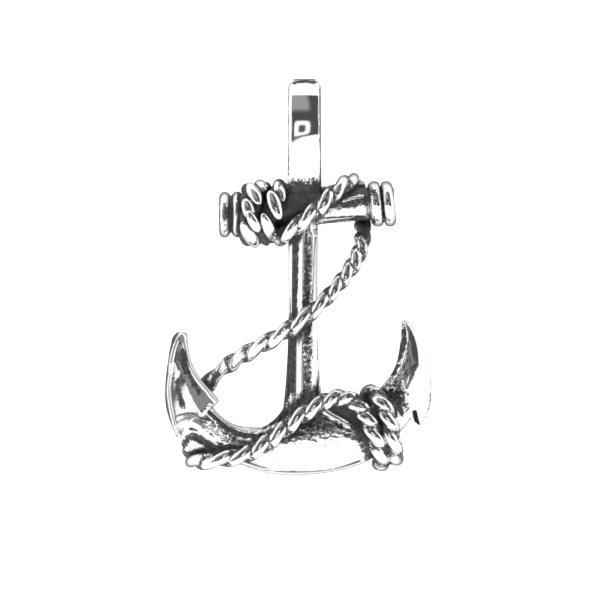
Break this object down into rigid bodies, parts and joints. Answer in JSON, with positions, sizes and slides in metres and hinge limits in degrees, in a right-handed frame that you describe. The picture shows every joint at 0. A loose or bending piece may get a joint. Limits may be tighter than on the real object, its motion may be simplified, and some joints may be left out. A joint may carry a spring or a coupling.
{
  "type": "anchor pendant",
  "caption": "Cast silver anchor pendant with a wide strap bail, its stock, shank and arm wound with a twisted rope.",
  "frame": {"origin": "under the middle of the pendant, on the plane it lies on", "axes": "+X along the stock to the viewer's right, +Y up the shank towards the bail, +Z out of the front face"},
  "size_m": [0.0306, 0.0456, 0.0085],
  "materials": {
    "silver": "polished silver, oxidised dark in the recesses",
    "rope_silver": "polished silver, oxidised dark between the strands"
  },
  "bodies": {
    "root": {"anchor": "silver", "upper_rope": "rope_silver", "lower_rope": "rope_silver"}
  },
  "joints": []
}
